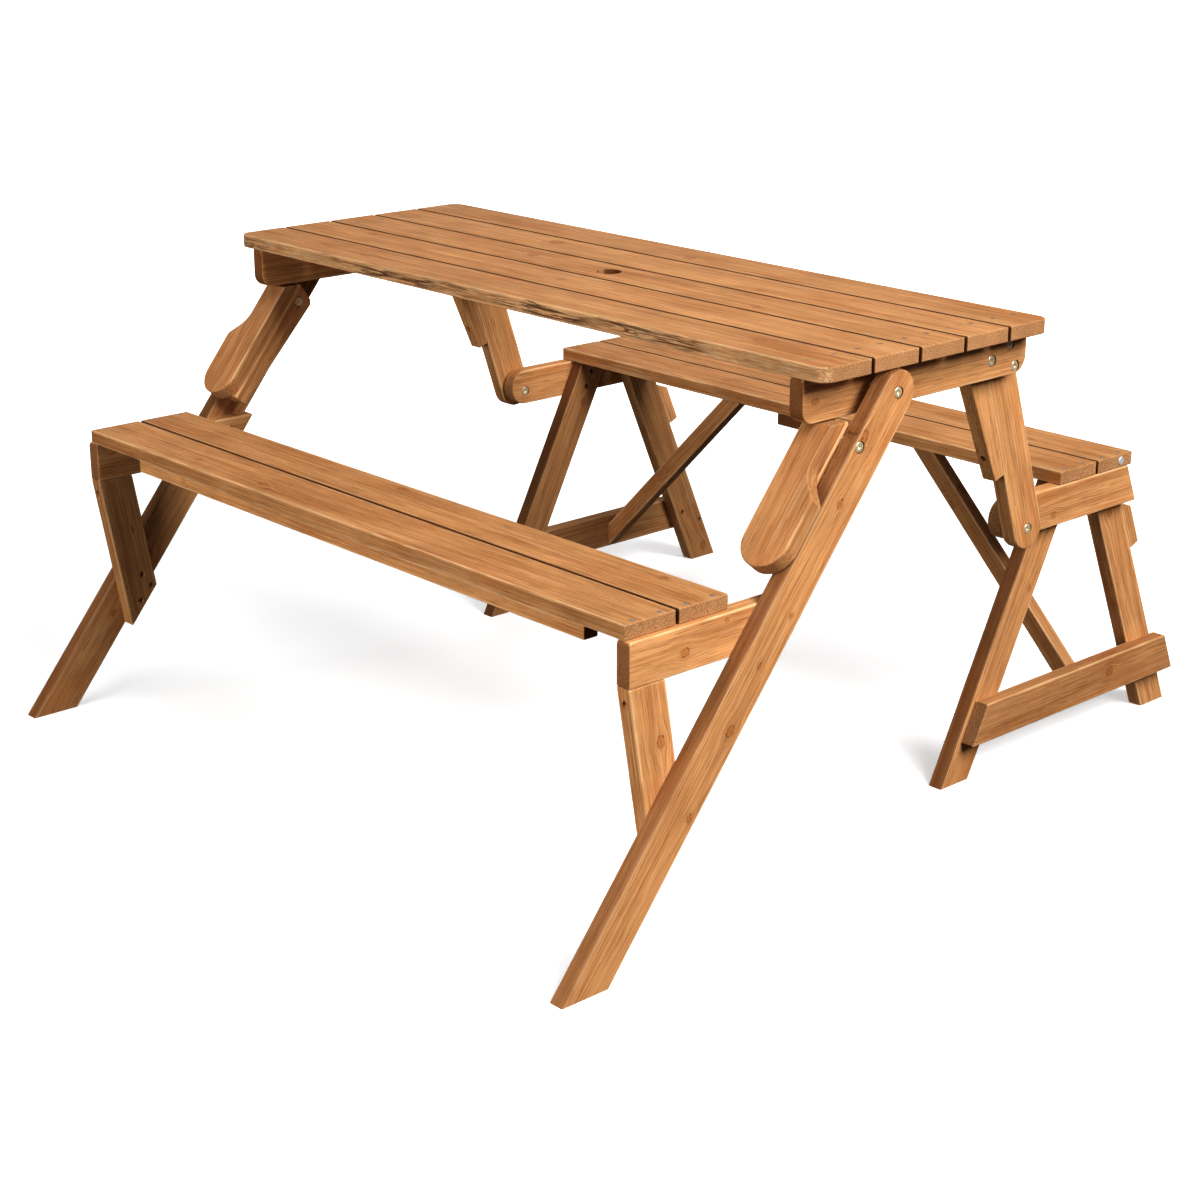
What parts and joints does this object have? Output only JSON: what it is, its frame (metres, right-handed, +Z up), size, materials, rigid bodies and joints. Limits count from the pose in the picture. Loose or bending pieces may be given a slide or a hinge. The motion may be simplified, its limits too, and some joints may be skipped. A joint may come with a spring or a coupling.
{
  "type": "convertible picnic table",
  "caption": "Slatted wooden picnic table with a bench on each side that folds over on pivots into a garden bench with a backrest and swing-out armrests.",
  "frame": {"origin": "on the ground, under the middle of the table in its table position", "axes": "+X along the slats, +Y from the front bench to the rear bench, +Z up"},
  "size_m": [1.314, 1.428, 0.73],
  "materials": {
    "slat_wood": "honey-brown stained softwood, worn on the edges",
    "frame_wood": "honey-brown stained softwood",
    "arm_wood": "honey-brown stained softwood",
    "bolt_zinc": "yellow zinc plating",
    "washer_steel": "zinc plating",
    "screw_steel": "dulled zinc plating",
    "tack_steel": "bright nickel plating"
  },
  "bodies": {
    "rear_bench": {"rear_slat_1": "slat_wood", "rear_slat_2": "slat_wood", "rear_rail_right": "frame_wood", "rear_rail_left": "frame_wood", "rear_front_leg_right": "frame_wood", "rear_front_leg_left": "frame_wood", "rear_back_leg_right": "frame_wood", "rear_back_leg_left": "frame_wood", "rear_stretcher_right": "frame_wood", "rear_stretcher_left": "frame_wood", "rear_brace_right": "frame_wood", "rear_brace_left": "frame_wood", "backrest_stop_right": "frame_wood", "backrest_stop_left": "frame_wood", "rear_seat_batten": "frame_wood", "bench_pivot_bolts": "bolt_zinc", "bench_pivot_nuts": "bolt_zinc", "bench_pivot_washers": "washer_steel", "rear_slat_screws": "screw_steel", "rear_frame_screws": "screw_steel", "rear_end_tack": "tack_steel"},
    "table_top": {"top_slat_1": "slat_wood", "top_slat_2": "slat_wood", "top_slat_3": "slat_wood", "top_slat_4": "slat_wood", "top_slat_5": "slat_wood", "top_cleat_right": "frame_wood", "top_cleat_left": "frame_wood", "post_right": "frame_wood", "post_left": "frame_wood", "post_block_right": "frame_wood", "post_block_left": "frame_wood", "top_slat_screws": "screw_steel", "post_block_screws": "screw_steel", "cleat_bolts": "bolt_zinc", "cleat_nuts": "bolt_zinc"},
    "front_bench": {"front_slat_1": "slat_wood", "front_slat_2": "slat_wood", "long_leg_right": "frame_wood", "long_leg_left": "frame_wood", "front_rail_right": "frame_wood", "front_rail_left": "frame_wood", "front_strut_right": "frame_wood", "front_strut_left": "frame_wood", "front_seat_batten": "frame_wood", "front_slat_screws": "screw_steel", "front_frame_screws": "screw_steel", "top_pivot_bolts": "bolt_zinc", "top_pivot_nuts": "bolt_zinc", "top_pivot_spacers": "washer_steel", "arm_pivot_bolts": "bolt_zinc", "arm_pivot_nuts": "bolt_zinc", "arm_pivot_washers": "washer_steel"},
    "right_arm": {"arm_board_right": "arm_wood", "armrest_right": "arm_wood", "arm_screws_right": "screw_steel"},
    "left_arm": {"arm_board_left": "arm_wood", "armrest_left": "arm_wood", "arm_screws_left": "screw_steel"}
  },
  "joints": [
    {"name": "fold", "type": "hinge", "parent": "rear_bench", "child": "table_top", "pos_m": [0, 0.251, 0.399], "axis": [-1, 0, 0], "range_deg": [0, 107.5]},
    {"name": "front_bench_level", "type": "hinge", "parent": "table_top", "child": "front_bench", "pos_m": [0, -0.129, 0.6775], "axis": [1, 0, 0], "range_deg": [0, 107.5]},
    {"name": "right_arm_swing", "type": "hinge", "parent": "front_bench", "child": "right_arm", "pos_m": [0.604, -0.201, 0.6175], "axis": [-1, 0, 0], "range_deg": [0, 51.4]},
    {"name": "left_arm_swing", "type": "hinge", "parent": "front_bench", "child": "left_arm", "pos_m": [-0.604, -0.201, 0.6175], "axis": [-1, 0, 0], "range_deg": [0, 51.4]}
  ],
  "couplings": [
    {"joint": "front_bench_level", "follows": "fold", "ratio": 1},
    {"joint": "right_arm_swing", "follows": "fold", "ratio": 0.478},
    {"joint": "left_arm_swing", "follows": "fold", "ratio": 0.478}
  ]
}
